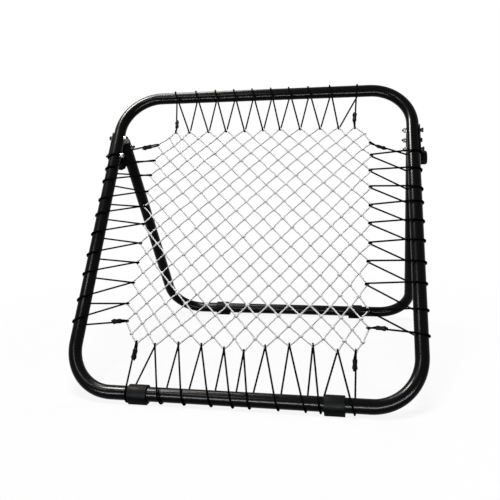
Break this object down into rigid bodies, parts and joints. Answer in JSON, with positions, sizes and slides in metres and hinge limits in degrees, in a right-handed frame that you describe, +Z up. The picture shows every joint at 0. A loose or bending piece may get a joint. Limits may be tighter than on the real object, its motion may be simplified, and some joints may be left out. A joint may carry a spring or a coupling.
{
  "type": "soccer rebounder",
  "caption": "Free-standing ball rebounder: a leaning square tube frame with an elastically laced net, held up by a folding rear prop with plated pivots and lock knobs.",
  "frame": {"origin": "on the ground, in the middle of the footprint between the front and rear feet", "axes": "+X to the right seen from the net's front, +Y from the net towards the prop, +Z up; the frame leans back towards +Y"},
  "size_m": [1.0582, 0.9836, 0.888],
  "materials": {
    "gloss_black_paint": "gloss powder coat on steel tube",
    "black_plate_paint": "semi-gloss powder coat on steel plate",
    "black_oxide_steel": "black oxide",
    "zinc_plated_steel": "bright zinc plate",
    "satin_black_plastic": "satin moulded",
    "grey_plastic": "satin moulded",
    "white_twine": "braided cord",
    "black_elastic": "woven cover on elastic cord",
    "black_sleeve": "smooth shrunk sleeve"
  },
  "bodies": {
    "frame": {"main_frame": "gloss_black_paint", "net": "white_twine", "lacing_top": "black_elastic", "lacing_bottom": "black_elastic", "lacing_left": "black_elastic", "lacing_right": "black_elastic", "end_sleeve_top_start": "black_sleeve", "end_sleeve_top_end": "black_sleeve", "end_sleeve_bottom_start": "black_sleeve", "end_sleeve_bottom_end": "black_sleeve", "end_sleeve_left_start": "black_sleeve", "end_sleeve_left_end": "black_sleeve", "end_sleeve_right_start": "black_sleeve", "end_sleeve_right_end": "black_sleeve", "hinge_plate_left": "black_plate_paint", "hinge_plate_right": "black_plate_paint", "upper_bolt_left": "black_oxide_steel", "upper_bolt_right": "black_oxide_steel", "upper_nut_left": "zinc_plated_steel", "upper_nut_right": "zinc_plated_steel", "upper_washer_left": "zinc_plated_steel", "upper_washer_right": "zinc_plated_steel", "lower_bolt_left": "black_oxide_steel", "lower_bolt_right": "black_oxide_steel", "lower_nut_left": "zinc_plated_steel", "lower_nut_right": "zinc_plated_steel", "lower_washer_left": "zinc_plated_steel", "lower_washer_right": "zinc_plated_steel", "pivot_bolt_left": "black_oxide_steel", "pivot_bolt_right": "black_oxide_steel", "pivot_nut_left": "zinc_plated_steel", "pivot_nut_right": "zinc_plated_steel", "pivot_washer_left": "zinc_plated_steel", "pivot_washer_right": "zinc_plated_steel", "main_foot_left": "satin_black_plastic", "main_foot_right": "satin_black_plastic"},
    "prop": {"prop_frame": "gloss_black_paint", "leg_plug_left": "grey_plastic", "leg_plug_right": "grey_plastic", "rivet_nut_left": "zinc_plated_steel", "rivet_nut_right": "zinc_plated_steel", "prop_foot_left": "satin_black_plastic", "prop_foot_right": "satin_black_plastic"},
    "knob_left": {"lock_knob_left": "satin_black_plastic", "knob_stud_left": "zinc_plated_steel"},
    "knob_right": {"lock_knob_right": "satin_black_plastic", "knob_stud_right": "zinc_plated_steel"}
  },
  "joints": [
    {"name": "prop_fold", "type": "hinge", "parent": "frame", "child": "prop", "pos_m": [0, -0.00824, 0.69982], "axis": [-1, 0, 0], "range_deg": [0, 65]},
    {"name": "left_knob_turn", "type": "hinge", "parent": "prop", "child": "knob_left", "pos_m": [-0.515, 0.03159, 0.64348], "axis": [-1, 0, 0], "range_deg": [0, 360]},
    {"name": "right_knob_turn", "type": "hinge", "parent": "prop", "child": "knob_right", "pos_m": [0.515, 0.03159, 0.64348], "axis": [1, 0, 0], "range_deg": [0, 360]}
  ]
}
